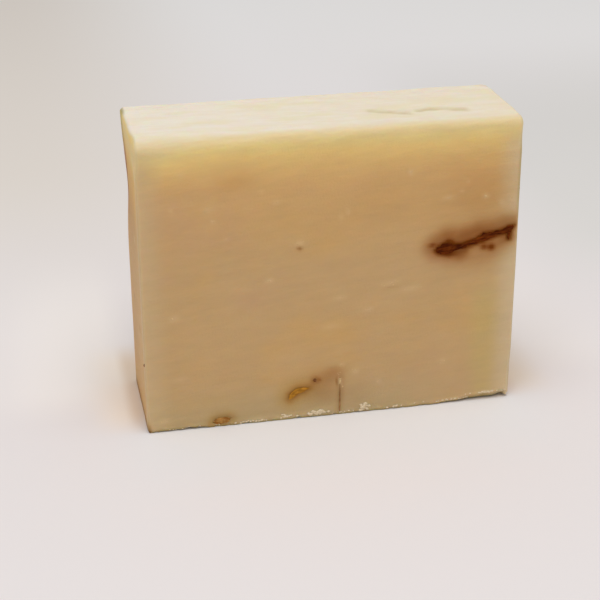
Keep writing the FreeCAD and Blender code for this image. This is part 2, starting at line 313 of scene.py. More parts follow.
# The points are in millimetres from the block's middle. Once it is rounded, z is from its base.
cube = np.array([v.co for v in shape.verts]) + 0.5
half = np.array((HALF_LENGTH - LIP_OVERHANG, HALF_THICK, HEIGHT / 2))
points = np.stack([crowd(cube[:, i], 2 * half[i]) * 2 * half[i] - half[i] for i in range(3)], axis=1)


def near_side(axis, side, start=4, end=1):
    """0 further than start from one side of the block, 1 nearer to it than end."""
    return rise(side * points[:, axis], half[axis] - start, half[axis] - end)


top_near = near_side(2, 1)
right_near = near_side(0, 1)
brow_near = near_side(2, 1, 8, 3) * near_side(1, -1, 8, 3)
brow_round = BROW_ROUND_LEFT + (BROW_ROUND_RIGHT - BROW_ROUND_LEFT) * rise(points[:, 0], -30, 25)
radius = EDGE_ROUND + (TOP_ROUND - EDGE_ROUND) * top_near
radius = radius + (brow_round - radius) * brow_near
radius = radius + (CORNER_ROUND - EDGE_ROUND) * right_near * near_side(1, -1) * near_side(2, -1, 14, 2)
radius = radius * (1 - BASE_SHARPER * near_side(2, -1, 3, 1) * (1 - right_near))
radius = radius * (1 + ROUND_WANDER * lumps(points, (7, 7, 7), 1))
end_radius = np.minimum(radius, END_ROUND)
end_radius = end_radius + (BACK_CORNER_ROUND - END_ROUND) * right_near * near_side(1, 1) * top_near
radii = np.stack([end_radius, radius, radius], axis=1)
core = np.clip(points, -(half - radii), half - radii)
out = (points - core) / radii
out = out / np.maximum(np.linalg.norm(out, axis=1, keepdims=True), 1e-9)
points = core + out * radii
out = out / radii
out = out / np.linalg.norm(out, axis=1, keepdims=True)
points[:, 2] = points[:, 2] + half[2]
x, y, z = points[:, 0], points[:, 1], points[:, 2]

on_front = np.clip(-out[:, 1], 0, 1)
on_back = np.clip(out[:, 1], 0, 1)
on_top = np.clip(out[:, 2], 0, 1)
on_base = np.clip(-out[:, 2], 0, 1)
on_ends = np.abs(out[:, 0])

# The unevenness of each side: how high, the size of its lumps along, back and up, and its seed.
# The ripples that the wire dragged rise a little to the right. Each side is sunk a little, so that
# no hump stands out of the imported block.
LONG_RIPPLES = (0.06, (8.0, 9.0, 1.6), 2)
SHORT_RIPPLES = (0.05, (4.0, 5.0, 0.9), 3)
SWELL = (0.05, (18, 18, 14), 4)
TOP_HUMPS = (0.13, (9.0, 2.2, 5.0), 5)
TOP_GRAIN = (0.07, (2.2, 1.0, 1.8), 6)
END_HUMPS = (0.04, (6, 2.5, 9), 7)
BASE_DENTS = (0.25, (6, 5, 5), 8)
FACE_SUNK = 0.17
TOP_SUNK = 0.19
END_SUNK = 0.06


def uneven(where, kind):
    """How high a kind of unevenness stands at each point, in millimetres."""
    height, size, seed = kind
    return height * lumps(where, size, seed)


drag = np.stack([
    x * math.cos(DRAG_ANGLE) + z * math.sin(DRAG_ANGLE),
    y * 0.5,
    z * math.cos(DRAG_ANGLE) - x * math.sin(DRAG_ANGLE),
], axis=1)
ripples = uneven(drag, LONG_RIPPLES) + uneven(drag, SHORT_RIPPLES) + uneven(points, SWELL)
sunk = (FACE_SUNK - ripples) * (on_front + on_back)
sunk = sunk + (TOP_SUNK - uneven(points, TOP_HUMPS) - uneven(points, TOP_GRAIN)) * on_top
sunk = sunk + (END_SUNK - uneven(points, END_HUMPS)) * on_ends
sunk = sunk + np.clip(uneven(points, BASE_DENTS), 0, None) * on_base


def line_near(flat, first, second, width):
    """1 on the line between two places on a flat face, falling to 0 at its sides and ends."""
    along = np.array(second) - np.array(first)
    length = np.linalg.norm(along)
    share = (flat - first) @ along / length**2
    away = np.linalg.norm(flat - first - np.clip(share, 0, 1)[:, None] * along, axis=1)
    return hill(away, 0, width)


def spot_near(flat, centre, half_long, half_high, tilt):
    """1 at the centre of an oval spot on a flat face, falling to 0 outside it."""
    turn = np.array(((math.cos(tilt), math.sin(tilt)), (-math.sin(tilt), math.cos(tilt))))
    away = (flat - centre) @ turn.T / (half_long, half_high)
    return np.exp(-(away**2).sum(axis=1))


# Two short curved furrows in the top, towards its right end, with a ledge behind them.
FURROW_DEPTH = 0.24
FURROW_WIDTH = 0.8
FURROWS = (((9.8, -2.5), (17.2, -5.3)), ((19.3, -4.3), (22.0, -3.3)), ((22.0, -3.3), (28.9, -5.5)))
LEDGE_HEIGHT = 0.10
LEDGE_BACK = 1.2
top_flat = np.stack([x, y], axis=1)
furrow = np.max([line_near(top_flat, a, b, FURROW_WIDTH) for a, b in FURROWS], axis=0) * on_top
furrow = furrow * np.clip(0.75 + 0.9 * lumps(points, (2.5, 1.0, 2.0), 12), 0.1, 1)
behind = top_flat - (0, LEDGE_BACK)
ledge = np.max([line_near(behind, a, b, FURROW_WIDTH) for a, b in FURROWS], axis=0) * on_top
sunk = sunk + FURROW_DEPTH * furrow - LEDGE_HEIGHT * ledge

# Spots in the front face: place along and up, half length, half height, and how pale, brown and
# proud each is.
SPOTS = (
    (-30.4, 56.2, 0.7, 0.4, 0.22, 0.00, 0.04),
    (-32.7, 48.9, 0.5, 0.4, 0.25, 0.00, 0.04),
    (-25.4, 48.5, 1.3, 0.8, 0.22, 0.00, 0.05),
    (-24.4, 46.0, 0.5, 0.4, 0.40, 0.00, 0.08),
    (-21.9, 42.0, 0.7, 0.5, 0.25, 0.03, 0.04),
    (-7.0, 39.9, 0.8, 0.5, 0.45, 0.00, 0.10),
    (-6.9, 38.7, 0.5, 0.4, 0.00, 0.30, -0.12),
    (-13.2, 32.3, 0.9, 0.5, 0.40, 0.00, 0.08),
    (-33.0, 25.7, 1.2, 0.6, 0.30, 0.00, 0.05),
    (-14.6, 51.5, 0.6, 0.4, 0.20, 0.00, 0.04),
    (-11.6, 49.0, 0.9, 0.5, 0.25, 0.00, 0.04),
    (-19.9, 53.8, 3.8, 1.8, 0.00, 0.05, -0.03),
    (15.9, 53.2, 0.6, 0.7, 0.35, 0.00, 0.06),
    (23.9, 47.2, 1.3, 0.6, 0.28, 0.00, 0.05),
    (28.0, 50.4, 0.5, 0.4, 0.20, 0.00, 0.04),
    (26.8, 48.5, 0.6, 0.4, 0.22, 0.00, 0.04),
    (31.9, 47.0, 0.7, 0.6, 0.40, 0.00, 0.08),
    (35.4, 45.4, 0.7, 0.6, 0.25, 0.00, 0.04),
    (37.6, 45.8, 0.6, 0.5, 0.25, 0.00, 0.04),
    (3.0, 45.9, 0.5, 1.0, 0.22, 0.00, 0.04),
    (1.6, 44.9, 0.5, 0.8, 0.20, 0.00, 0.04),
    (12.0, 29.3, 2.0, 0.7, 0.25, 0.00, 0.05),
    (12.3, 28.5, 2.0, 0.4, 0.00, 0.05, -0.05),
    (16.5, 27.9, 2.2, 0.6, 0.28, 0.00, 0.05),
    (1.3, 27.1, 1.4, 0.5, 0.25, 0.00, 0.05),
    (7.4, 24.0, 1.3, 0.5, 0.28, 0.00, 0.05),
    (-0.6, 20.8, 2.2, 0.6, 0.22, 0.00, 0.04),
    (-31.9, 11.9, 1.6, 0.5, 0.20, 0.00, 0.04),
    (2.0, 11.8, 0.6, 0.5, 0.32, 0.00, 0.06),
    (4.9, 9.9, 0.8, 0.6, 0.32, 0.00, 0.05),
    (23.9, 10.3, 0.8, 0.6, 0.25, 0.00, 0.05),
    (9.9, 7.0, 0.6, 0.5, 0.25, 0.00, 0.05),
    (-35.8, 2.6, 1.3, 0.7, 0.40, 0.03, 0.05),
    (31.0, 48.0, 9.0, 7.0, 0.00, 0.07, 0.00),
    (10.0, 47.0, 8.0, 5.0, 0.00, 0.02, 0.00),
    (-1.2, 9.2, 3.4, 1.8, 0.00, 0.13, 0.00),
    (-1.6, 5.8, 3.4, 3.2, 0.00, 0.11, 0.00),
    (0.6, 10.6, 2.2, 1.2, 0.00, 0.08, 0.00),
    (-2.8, 8.7, 0.4, 0.4, 0.00, 0.20, -0.04),
    (0.95, 7.9, 0.25, 0.9, 0.00, 0.35, -0.05),
    (1.5, 7.8, 0.5, 1.1, 0.45, 0.00, 0.16),
    (-39.2, 0.3, 0.6, 0.5, 0.00, 0.50, 0.00),
    (5.0, 4.6, 3.5, 3.0, 0.00, 0.03, 0.00),
    (32.0, 35.8, 0.7, 0.6, 0.00, 0.50, -0.06),
    (33.6, 35.6, 0.8, 0.7, 0.00, 0.60, -0.06),
    (34.8, 36.4, 2.6, 1.2, 0.00, 0.14, 0.00),
    (34.5, 35.8, 3.4, 2.4, 0.00, 0.06, 0.00),
    (27.6, 39.4, 3.6, 1.8, 0.00, 0.16, 0.00),
    (33.5, 34.4, 4.2, 1.6, 0.00, 0.07, 0.00),
    (30.0, 33.4, 5.5, 2.8, 0.00, 0.10, 0.00),
    (-17.3, 0.7, 3.4, 0.5, 0.30, 0.00, 0.03),
    (-9.9, 0.9, 2.0, 0.6, 0.30, 0.00, 0.03),
    (-3.4, 1.3, 2.6, 0.8, 0.35, 0.00, 0.04),
    (26.9, 34.2, 1.6, 1.2, 0.00, 0.18, -0.03),
    (20.9, 37.1, 0.8, 0.35, 0.00, 0.40, 0.00),
)
HIDDEN_BACK_SPOTS = 34
HIDDEN_END_SPOTS = 7


def spotted(flat, facing, spots):
    """How pale, brown and proud a face is at each of its points, from the spots on it."""
    total = np.zeros((3, len(flat)))
    for along, height, half_long, half_high, *amounts in spots:
        near = spot_near(flat, (along, height), half_long, half_high, DRAG_ANGLE) * facing
        total = total + np.outer(amounts, near)
    return total


def chance_spots(chance, count, half_width):
    """Small pale specks, each fifth of them a brown one, for a side that the picture doesn't show."""
    spots = []
    for number in range(count):
        where = (chance.uniform(-half_width, half_width), chance.uniform(4, 56))
        half_long = chance.uniform(0.4, 1.5)
        colour = (0.0, chance.uniform(0.12, 0.3)) if number % 5 == 0 else (chance.uniform(0.2, 0.45), 0.0)
        spots.append((*where, half_long, 0.3 + half_long / 4, *colour, 0.05))
    return spots


chance = random.Random(12)
side_flat = np.stack([y, z], axis=1)
front_flat = np.stack([x, z], axis=1)
pale, brown, proud = spotted(front_flat, on_front, SPOTS)
for flat, facing, count, half_width in (
    (front_flat, on_back, HIDDEN_BACK_SPOTS, 36),
    (side_flat, np.clip(out[:, 0], 0, 1), HIDDEN_END_SPOTS, 10),
    (side_flat, np.clip(-out[:, 0], 0, 1), HIDDEN_END_SPOTS, 10),
):
    more = spotted(flat, facing, chance_spots(chance, count, half_width))
    pale, brown, proud = pale + more[0], brown + more[1], proud + more[2]
sunk = sunk - proud


def nearness(node, reach, shift=(0, 0)):
    """1 on a scrap's cut edge in the front face, falling to 0. The shift moves it along and up."""
    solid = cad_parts[node].data
    corners = [v.co / MM for v in solid.vertices]
    tree = BVHTree.FromPolygons(corners, [tuple(f.vertices) for f in solid.polygons])
    low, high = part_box(node)
    margin = 3 * reach
    along = x - shift[0]
    up = z - shift[1]
    close = (y < -HALF_THICK + 1.5) & (along > low.x / MM - margin) & (along < high.x / MM + margin)
    close = close & (up > low.z / MM - margin) & (up < high.z / MM + margin)
    near = np.zeros(len(points))
    for i in np.flatnonzero(close):
        away = tree.find_nearest(Vector((along[i], -HALF_THICK + 0.02, up[i])))[3]
        near[i] = hill(away, 0, reach)
    return near * on_front


# The scraps stain the soap round them, and the wire dug a little where it caught them. Each line has
# the scrap, how far that reaches, and how brown, yellow and deep it is at the scrap.
STAINS = (
    ("brown_petal", 0.50, 0.00, 0.00, 0.18),
    ("orange_petal", 0.45, 0.07, 0.00, 0.00),
    ("orange_petal", 0.90, 0.00, 0.45, 0.00),
    ("orange_petal", 2.40, 0.00, 0.32, 0.00),
    ("orange_petal", 0.35, 0.00, 0.00, 0.14),
    ("base_edge_petal", 1.10, 0.05, 0.00, 0.00),
    ("base_edge_petal", 1.40, 0.00, 0.28, 0.00),
    ("base_edge_petal", 0.35, 0.00, 0.00, 0.12),
    ("plant_fibre", 0.60, 0.08, 0.00, 0.00),
    ("plant_fibre", 0.30, 0.00, 0.00, 0.10),
    ("front_grain", 0.60, 0.16, 0.00, 0.00),
    ("front_grain", 0.30, 0.00, 0.00, 0.10),
)
yellow = np.zeros(len(points))
for node, reach, browned, yellowed, dug in STAINS:
    near = nearness(node, reach)
    brown = brown + browned * near
    yellow = yellow + yellowed * near
    sunk = sunk + dug * near

# The large petal has a wide faint stain, mostly above it, and a dark one close round it,
# which is fainter under its thin neck.
under_neck = hill(x, 27.2, 1.8) * (1 - rise(z, 35.4, 36.4))
brown = brown + 0.33 * nearness("brown_petal", 2.0, (-0.6, 0.8))
brown = brown + 0.42 * nearness("brown_petal", 0.5) * (1 - 0.7 * under_neck)

# Painted olive shade lies in the furrows, with some yellow; the ledge behind them is a little olive too.
# Painted shade also darkens the back edge of the left end, its foot and the base edge in front, and the
# left end, the back corner of the top at the right and the front's right edge are a little darker.
olive = 0.19 * furrow + 0.06 * ledge
yellow = yellow + 0.14 * furrow
left_end = rise(-x, 38.4, 39.1)
right_edge = rise(x, 38.4, 39.2) * on_front
foot = hill(z, 0, 1.8) * left_end
base_line = hill(z, 0, 0.35) * (y < -11.5) * (1 - 0.8 * rise(x, 36.0, 38.2))
# Painted shade down the back edge of the left end, where its scooped edge shades it.
brown = brown + 0.62 * left_end * rise(y, 3, 8) * hill(z, 50, 5.5)
# The left end a little darker lower down and towards its front, and the top's back corner at the right.
brown = brown + 0.05 * left_end * rise(y, -8, 6) * (1 - rise(z, 46, 54))
brown = brown + 0.06 * left_end * rise(y, -10, -4) * hill(z, 46, 8)
brown = brown + 0.05 * rise(x, 35, 39) * rise(y, 9, 12.5) * on_top
# Painted contact shade at the foot of the left end, where it meets the table.
brown = brown + 0.22 * foot
# Painted olive shade at the top of the left end's back edge.
olive = olive + 0.60 * left_end * rise(y, 6, 10) * rise(z, 53, 58)
# A darker olive line down the front's right edge.
olive = olive + 0.40 * right_edge * rise(z, 40, 48) * (1 - rise(z, 56, 61))
# Painted contact shade at the foot of the left end and along the base edge in front.
olive = olive + 0.50 * foot + 0.50 * base_line

# The base edge in front is a crumbly lip, raised near its left end, undercut towards its right end.
CHIP_START = 19.5
CHIP_END = 38.4
CHIP_RISE = 2.1
CHIP_ANGLE = math.radians(42)
CHIP_REACH = 4.0
CRUMBLE_DEPTH = 0.35
EDGE_LIFT = 0.3
crumble = lumps(points, (1.3, 1.3, 1.3), 9) + 0.5 * lumps(points, (0.6, 0.6, 0.6), 10)
crumble = np.clip(crumble, -0.2, 1)
sunk = sunk + CRUMBLE_DEPTH * crumble * hill(z, 0, 0.9) * hill(y, -HALF_THICK, 0.9)
pale = pale + 0.50 * np.clip(crumble + 0.15, 0, 1) * hill(z, 0.6, 0.45) * on_front

points = points - out * sunk[:, None]
x, y, z = points[:, 0], points[:, 1], points[:, 2]
chip = CHIP_RISE * np.clip((x - CHIP_START) / (CHIP_END - CHIP_START), 0, 1)
chip = chip * (1 - rise(x, CHIP_END - 0.4, CHIP_END + 0.4))
chip = chip * (1 + 0.3 * lumps(points, (2.5, 50, 50), 11))
cut = np.clip(chip - z, 0, None) * math.tan(CHIP_ANGLE)
points[:, 1] = y + cut * np.clip(1 - (y + HALF_THICK) / CHIP_REACH, 0, 1)
# Painted olive shade in the undercut below the lip.
olive = olive + 0.15 * rise(cut, 0.03, 0.25) * (y < -8)
lip = hill(z, chip + 0.3, 0.3) * rise(chip, 0.1, 0.4) * on_front
pale = pale + 0.60 * lip * np.clip(0.6 + crumble, 0, 1)
raised = rise(x, -38.5, -36.5) * (1 - rise(x, -30, -26))
points[:, 2] = z + EDGE_LIFT * raised * hill(y, -HALF_THICK, 1.5) * hill(z, 0, 1.2)

# The upright back edge on the left is scooped, and both ends flare at the top.
SCOOP_HEIGHT = 46.0
SCOOP_DEPTH = 0.55
scoop = SCOOP_DEPTH * hill(z, SCOOP_HEIGHT, 7) * rise(y, 3, HALF_THICK) * rise(-x, 33, HALF_LENGTH)
points[:, 0] = points[:, 0] + scoop
points[:, 0] = points[:, 0] * (1 + LIP_OVERHANG / half[0] * rise(points[:, 2], HEIGHT - LIP_HEIGHT, HEIGHT))
points = np.clip(points, (-HALF_LENGTH, -HALF_THICK, 0), (HALF_LENGTH, HALF_THICK, HEIGHT))
for vert, point in zip(shape.verts, points):
    vert.co = point * MM
soap_skin = BVHTree.FromBMesh(shape)

# The soap is pale where the air has dried it, yellow under that and tan within, where light sinks in.
# The yellow under the top is also painted glow, of light that enters through the top, and the topmost
# bands are painted darker, as painted shade against the lamp light that the rounded brow catches.
# A band has its share of the depth and its colour. A filter is what a full stain leaves of the light,
# and likewise full painted shade.
BANDS_AND_GLOW = (
    (0.000, (226, 207, 164)),
    (0.045, (229, 208, 154)),
    (0.090, (237, 213, 143)),
    (0.150, (237, 204, 130)),
    (0.240, (228, 190, 121)),
    (0.370, (220, 178, 115)),
    (0.600, (213, 173, 113)),
    (1.000, (208, 172, 119)),
)
BANDS_DEPTH = 30.0
PALE_LEFT_SHIFT = -1.5
PALE_SOAP = (237, 208, 156)
BROWN_FILTER = (0.235, 0.073, 0.015, 1.0)
YELLOW_FILTER = (0.68, 0.455, 0.12, 1.0)
PAINTED_OLIVE_SHADE_FILTER = (0.43, 0.46, 0.33, 1.0)
RIM_AND_GLOW_LEFT = (213, 185, 138)
RIM_AND_GLOW_RIGHT = (219, 198, 158)
GOLDEN_SOAP = (220, 174, 98)
PINKISH_SOAP = (205, 164, 126)
GREENISH_SOAP = (206, 190, 108)
DARKER_LOW_SOAP = (195, 170, 124)
END_CREST = (238, 208, 128)
END_TOP = (226, 174, 76)
END_LOW = (208, 161, 92)
CORNER_CREST = (237, 212, 158)
ASH_WHITE = (237, 226, 209)
ASH_CREAM = (232, 217, 190)
ASH_YELLOW = (230, 218, 177)
ASH_RIM = (223, 205, 160)
GREENISH_ALONG = (28.0, 32.5, 34.0, 38.0)


def in_millimetres(tree):
    """The place on a piece, in millimetres."""
    metres = add(tree, "TexCoord").outputs["Object"]
    return add(tree, "VectorMath", {0: metres, "Scale": 1 / MM}, operation="SCALE").outputs[0]


def speckle(tree, where, size, detail=2.0, roughness=0.5, spin=0.0):
    """Noise from 0 to 1. Size is its lumps' size in millimetres along each axis, turned by spin about y."""
    laid = add(tree, "VectorRotate", {"Vector": where, "Angle": spin}, rotation_type="Y_AXIS").outputs[0]
    laid = add(tree, "VectorMath", {0: laid, 1: size}, operation="DIVIDE").outputs[0]
    settings = {"Vector": laid, "Scale": 1.0, "Detail": detail, "Roughness": roughness}
    return add(tree, "TexNoise", settings).outputs["Fac"]


def plus(tree, first, second, clamped=False):
    """Two values added, kept from 0 to 1 if clamped."""
    return add(tree, "Math", {0: first, 1: second}, operation="ADD", use_clamp=clamped).outputs[0]


def sum_of(tree, value, factor, offset):
    """value times factor plus offset."""
    return add(tree, "Math", {0: value, 1: factor, 2: offset}, operation="MULTIPLY_ADD").outputs[0]


def shaded(tree, colour, share, dark, light):
    """The colour made darker where the share is 0 and lighter where it is 1."""
    gain = sum_of(tree, share, light - dark, dark)
    return add(tree, "VectorMath", {0: colour, "Scale": gain}, operation="SCALE").outputs[0]


def seen_through(tree, colour, through, amount):
    """The colour seen through a stain, and likewise through painted shade, which takes more of it away the
    stronger it is.
    """
    dimmed = add(tree, "Gamma", {"Color": through, "Gamma": amount}).outputs[0]
    settings = {0: 1.0, 6: colour, 7: dimmed}
    return add(tree, "Mix", settings, data_type="RGBA", blend_type="MULTIPLY").outputs[2]


def tinted(tree, tone, where, share, colour):
    """The tone with a share of a colour mixed in where the value is 1."""
    return blend(tree, times(tree, where, share), tone, paint(*colour))


def bumped(tree, height, strength, depth, under=None):
    """The way the surface faces with a fine relief, so many millimetres deep, over an earlier one."""
    relief = {"Height": height, "Strength": strength, "Distance": depth * MM}
    if under is not None:
        relief["Normal"] = under
    return add(tree, "Bump", relief).outputs[0]


soap, tree = new_material("soap")
spot = in_millimetres(tree)
axes = add(tree, "SeparateXYZ", {0: spot}).outputs
face = add(tree, "SeparateXYZ", {0: add(tree, "NewGeometry").outputs["Normal"]}).outputs
along, backward, up = axes["X"], axes["Y"], axes["Z"]
turned = size_of(tree, face["X"])
fall = add(tree, "Math", {0: HEIGHT, 1: up}, operation="SUBTRACT").outputs[0]

# The bands, with their painted glow, follow the distance down from the top, along a wavering line.
wander = sum_of(tree, speckle(tree, spot, (16, 16, 9)), 6.0, -3.0)
shift = times(tree, wander, spread(tree, fall, 1, 12))
at_left = times(tree, spread(tree, along, -22.0, -38.0), spread(tree, fall, 14, 3))
shift = plus(tree, shift, times(tree, at_left, PALE_LEFT_SHIFT))
depth = plus(tree, fall, shift)
bands = add(tree, "ValToRGB", {"Fac": spread(tree, depth, 0, BANDS_DEPTH, smooth=False)})
ramp = bands.color_ramp
while len(ramp.elements) < len(BANDS_AND_GLOW):
    ramp.elements.new(1.0)
for element, (where, colour) in zip(ramp.elements, BANDS_AND_GLOW):
    element.position = where
    element.color = paint(*colour)
tone = bands.outputs["Color"]

# Patches of other tones in the cut faces, the rims and the ends. The rims near the front's ends are drier
# and paler, and also carry painted glow of light through the edges.
patch = speckle(tree, spot, (24, 24, 15), detail=2)
below = spread(tree, fall, 5, 14)
pinkish = times(tree, spread(tree, patch, 0.52, 0.72), below)
tone = tinted(tree, tone, pinkish, 0.33, PINKISH_SOAP)
golden = times(tree, spread(tree, patch, 0.48, 0.28), below)
tone = tinted(tree, tone, golden, 0.40, GOLDEN_SOAP)
greenish = times(tree, between(tree, along, GREENISH_ALONG), spread(tree, fall, 32.0, 42.0))
tone = tinted(tree, tone, greenish, 0.30, GREENISH_SOAP)
# Darker and greyer towards the base, except at the right end.
darker_low = times(tree, spread(tree, up, 12.0, 1.5), spread(tree, along, 36.0, 8.0))
tone = tinted(tree, tone, darker_low, 0.8, DARKER_LOW_SOAP)
# Near the front's ends: drier, paler soap, with painted glow of light through the edges.
rim = times(tree, spread(tree, size_of(tree, along), 33.0, 39.0), spread(tree, fall, 0.0, 7.0))
rim_tone = blend(tree, spread(tree, along, -10, 10), paint(*RIM_AND_GLOW_LEFT), paint(*RIM_AND_GLOW_RIGHT))
tone = blend(tree, times(tree, rim, 0.8), tone, rim_tone)
# Down each end as down the front: lighter and yellower near the top, partly painted glow of light through
# the top, and tan lower down; towards the front it goes over to the rims' tone.
end_tone = blend(tree, spread(tree, fall, 1, 11), paint(*END_CREST), paint(*END_TOP))
end_tone = blend(tree, spread(tree, fall, 8, 26), end_tone, paint(*END_LOW))
corner_tone = blend(tree, spread(tree, fall, 4, 15), paint(*CORNER_CREST), paint(*RIM_AND_GLOW_LEFT))
corner = times(tree, spread(tree, backward, -8.5, -12.4), 0.75)
end_tone = blend(tree, corner, end_tone, corner_tone)
tone = blend(tree, spread(tree, turned, 0.6, 0.95), tone, end_tone)

# Clouds, streaks and fine threads of lighter and darker soap, along the wire's way.
cloud = speckle(tree, spot, (14, 14, 8), detail=3)
tone = shaded(tree, tone, cloud, 0.95, 1.05)
streak = speckle(tree, spot, (7, 7, 1.5), detail=4, roughness=0.55, spin=DRAG_ANGLE)
tone = shaded(tree, tone, streak, 0.93, 1.07)
thread = speckle(tree, spot, (2.5, 2.5, 0.45), detail=3, roughness=0.5, spin=DRAG_ANGLE)
tone = shaded(tree, tone, thread, 0.97, 1.03)

# Soda ash on the top: whiter to the left, thinner in patches and along the front.
upward = spread(tree, face["Z"], 0.62, 1.0)
powder = spread(tree, speckle(tree, spot, (9, 2.2, 9), detail=5, roughness=0.6), 0.3, 0.7)
whiter = times(tree, spread(tree, along, 25.0, -35.0), 0.45)
powder = plus(tree, times(tree, powder, 0.7), whiter, clamped=True)
ash = blend(tree, powder, paint(*ASH_CREAM), paint(*ASH_WHITE))
bare = spread(tree, speckle(tree, spot, (12, 4, 12), detail=3), 0.45, 0.7)
ash = tinted(tree, ash, bare, 0.6, ASH_YELLOW)
ash = tinted(tree, ash, spread(tree, backward, -9.6, -12.2), 0.7, ASH_RIM)
tone = blend(tree, upward, tone, ash)

# The marks that the mesh carries: brown in red, with stains and some painted shade, pale in green,
# yellow in blue, olive painted shade in alpha.
marked = add(tree, "Attribute", attribute_name="marks")
marks = add(tree, "SeparateColor", {0: marked.outputs["Color"]}).outputs
tone = seen_through(tree, tone, YELLOW_FILTER, marks["Blue"])
tone = seen_through(tree, tone, BROWN_FILTER, marks["Red"])
tone = seen_through(tree, tone, PAINTED_OLIVE_SHADE_FILTER, marked.outputs["Alpha"])
tone = blend(tree, marks["Green"], tone, paint(*PALE_SOAP))

# A slight gloss, less on stains, on painted shade and on the ashed top. Light sinks in, but less where
# the edges have dried.
grit = speckle(tree, spot, (0.5, 0.5, 0.5), detail=4, roughness=0.65)
lined = bumped(tree, streak, 0.35, 0.25)
lined = bumped(tree, thread, 0.5, 0.12, lined)
rugged = bumped(tree, grit, 0.6, 0.12, lined)
dull = plus(tree, sum_of(tree, grit, 0.16, 0.42), times(tree, upward, 0.25))
matt = greater(tree, marks["Red"], marked.outputs["Alpha"])
dried_edge = between(tree, turned, (0.08, 0.35, 0.9, 0.995))
surface = add(tree, "BsdfPrincipled", {
    "Base Color": tone,
    "Roughness": dull,
    "Specular IOR Level": times(tree, spread(tree, matt, 0.7, 0.0, smooth=False), 0.5),
    "Normal": rugged,
    "Subsurface Weight": sum_of(tree, dried_edge, -0.75, 0.8),
    "Subsurface Radius": (1.0, 0.55, 0.25),
    "Subsurface Scale": 0.0014,
})
add(tree, "OutputMaterial", {"Surface": surface.outputs[0]})

soap_block = place("soap_block", shape, soap)
painted = soap_block.data.attributes.new("marks", "FLOAT_COLOR", "POINT")
colours = np.stack([brown, pale, yellow, olive], axis=1)
painted.data.foreach_set("color", np.clip(colours, 0, 1).astype(np.float32).ravel())
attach(soap_block, "root")
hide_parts("soap_bar")


# The brown petal is a folded scrap of dried petal. The wire cut it through, so its torn layers
# end in the front face, dark and fibrous, and stand a little proud of the soap.
BROWN_DEEP = (74, 22, 1)
BROWN_WORN = (120, 55, 10)
PETAL_TILT = math.radians(10)
TICK_START = 36.0
TICK_TOP = 38.3
TICK_ALONG = 37.1
TICK_NARROWED = 0.45
NECK_ALONG = 26.5
NECK_HEIGHT = 36.457
NECK_SLOPE = 0.27
NECK_REACH = 2.5
NECK_NARROWED = 0.46
SAME_POINT = 1e-7
ON_PLANE = 1e-8


def cut_fine(node, cell):
    """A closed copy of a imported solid, cut along a grid fine enough to shape by its points."""
    copy = bmesh.new()
    copy.from_mesh(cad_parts[node].data)
    bmesh.ops.remove_doubles(copy, verts=copy.verts, dist=SAME_POINT)
    low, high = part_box(node)
    for axis in range(3):
        way = Vector((axis == 0, axis == 1, axis == 2))
        for where in np.arange(low[axis] + cell * MM / 2, high[axis], cell * MM):
            parts = copy.verts[:] + copy.edges[:] + copy.faces[:]
            bmesh.ops.bisect_plane(copy, geom=parts, dist=ON_PLANE, plane_co=way * where, plane_no=way)
    bmesh.ops.remove_doubles(copy, verts=copy.verts, dist=cell * MM / 12)
    bmesh.ops.triangulate(copy, faces=copy.faces)
    return copy


def tear(copy, proud, crumple, fray, size, seed):
    """Crumples the cut front of a scrap and frays its outline. All amounts are in millimetres."""
    spots = np.array([v.co for v in copy.verts]) / MM
    folds = lumps(spots, size, seed) + 0.5 * lumps(spots, tuple(s / 2 for s in size), seed + 1)
    across = lumps(spots, (0.7, 0.7, 0.7), seed + 2)
    along = lumps(spots, (0.7, 0.7, 0.7), seed + 3)
    at_front = rise(-spots[:, 1], HALF_THICK - 1.2, HALF_THICK - 0.1)
    front_place = -HALF_THICK + FACE_SUNK - proud - crumple * folds
    spots[:, 1] = spots[:, 1] + at_front * (front_place + HALF_THICK)
    spots[:, 1] = np.maximum(spots[:, 1], -HALF_THICK + 0.005)
    spots[:, 0] = spots[:, 0] + fray * along * at_front
    spots[:, 2] = spots[:, 2] + fray * across * at_front
    for vert, spot_now in zip(copy.verts, spots):
        vert.co = spot_now * MM


def narrow(copy, axis, middle, amount):
    """Draws a scrap towards its middle along one axis. Both functions take a point in millimetres."""
    for vert in copy.verts:
        spot = vert.co / MM
        vert.co[axis] = (spot[axis] + (middle(spot) - spot[axis]) * amount(spot)) * MM


def plant_material(name, deep, worn, size, spin):
    """Dried plant matter: fibres along the scrap, from a deep colour to a worn one."""
    material, tree = new_material(name)
    spot = in_millimetres(tree)
    fibres = speckle(tree, spot, size, detail=5, roughness=0.65, spin=spin)
    tone = blend(tree, spread(tree, fibres, 0.36, 0.66), paint(*deep), paint(*worn))
    folds = speckle(tree, spot, tuple(2 * s for s in size), spin=spin)
    tone = shaded(tree, tone, folds, 0.62, 1.3)
    ridged = bumped(tree, fibres, 0.6, 0.15)
    surface = add(tree, "BsdfPrincipled", {
        "Base Color": tone,
        "Roughness": sum_of(tree, fibres, 0.3, 0.5),
        "Specular IOR Level": 0.04,
        "Normal": ridged,
        "Subsurface Weight": 0.2,
        "Subsurface Radius": (1.0, 0.4, 0.15),
        "Subsurface Scale": 0.0006,
    })
    add(tree, "OutputMaterial", {"Surface": surface.outputs[0]})
    return material


def settle(name, shape, material, node):
    """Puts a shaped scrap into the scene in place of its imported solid."""
    bmesh.ops.recalc_face_normals(shape, faces=shape.faces)
    piece = place(name, shape, material)
    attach(piece, "root")
    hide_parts(node)
    return piece


def at_tick(spot):
    """The share by which the short tick under the petal's right end is narrowed."""
    return TICK_NARROWED if spot.x > TICK_START and spot.z < TICK_TOP else 0.0


